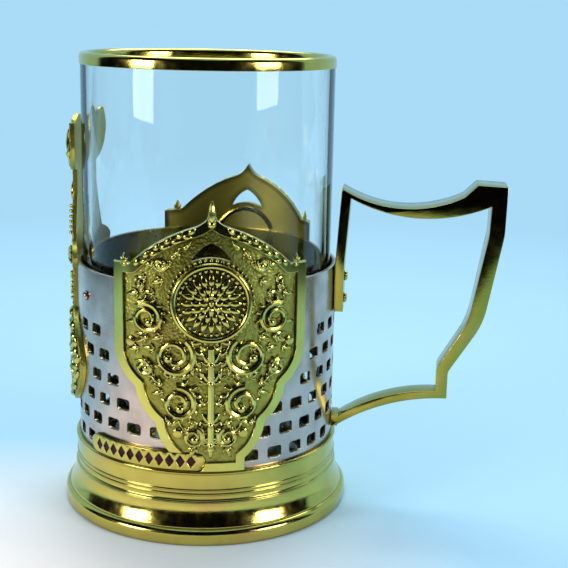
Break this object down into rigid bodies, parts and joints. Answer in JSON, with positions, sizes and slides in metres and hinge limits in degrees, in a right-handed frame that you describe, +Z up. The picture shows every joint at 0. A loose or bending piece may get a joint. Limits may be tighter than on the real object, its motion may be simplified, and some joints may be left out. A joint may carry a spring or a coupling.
{
  "type": "tea glass holder",
  "caption": "Gilt and silver-coloured tea glass holder with a brick-pierced wall, ornament plates, a strip handle and a turned foot, holding a straight glass that lifts out.",
  "frame": {"origin": "on the glass's axis, in the plane that the foot stands on", "axes": "+Z up along the glass's axis, +X towards the handle, -Y towards the front ornament plate"},
  "size_m": [0.1171, 0.078, 0.12],
  "materials": {
    "gilt_brass": "polished",
    "nickel_silver": "polished",
    "clear_glass": "clear",
    "lip_gilding": "polished",
    "black_enamel": "glossy"
  },
  "bodies": {
    "holder": {"foot_shell": "gilt_brass", "wall_collar": "gilt_brass", "foot_ring": "gilt_brass", "handle_strip": "gilt_brass", "handle_upper_rivets": "gilt_brass", "handle_lower_pin": "gilt_brass", "front_ogee_plate": "gilt_brass", "front_medallion": "gilt_brass", "front_scrollwork": "gilt_brass", "front_rivets": "gilt_brass", "back_ogee_plate": "gilt_brass", "back_medallion": "gilt_brass", "back_scrollwork": "gilt_brass", "back_rivets": "gilt_brass", "palmette_plate": "gilt_brass", "palmette_bead": "gilt_brass", "palmette_relief": "gilt_brass", "palmette_rivets": "gilt_brass", "plaque": "gilt_brass", "wall_shell": "nickel_silver", "floor_disc": "nickel_silver", "band_studs": "nickel_silver", "plaque_inlays": "black_enamel"},
    "glass": {"glass_tumbler": "clear_glass", "rim_gilding": "lip_gilding"}
  },
  "joints": [
    {"name": "glass_lift", "type": "slide", "parent": "holder", "child": "glass", "axis": [0, 0, 1], "range_m": [0, 0.1]}
  ]
}
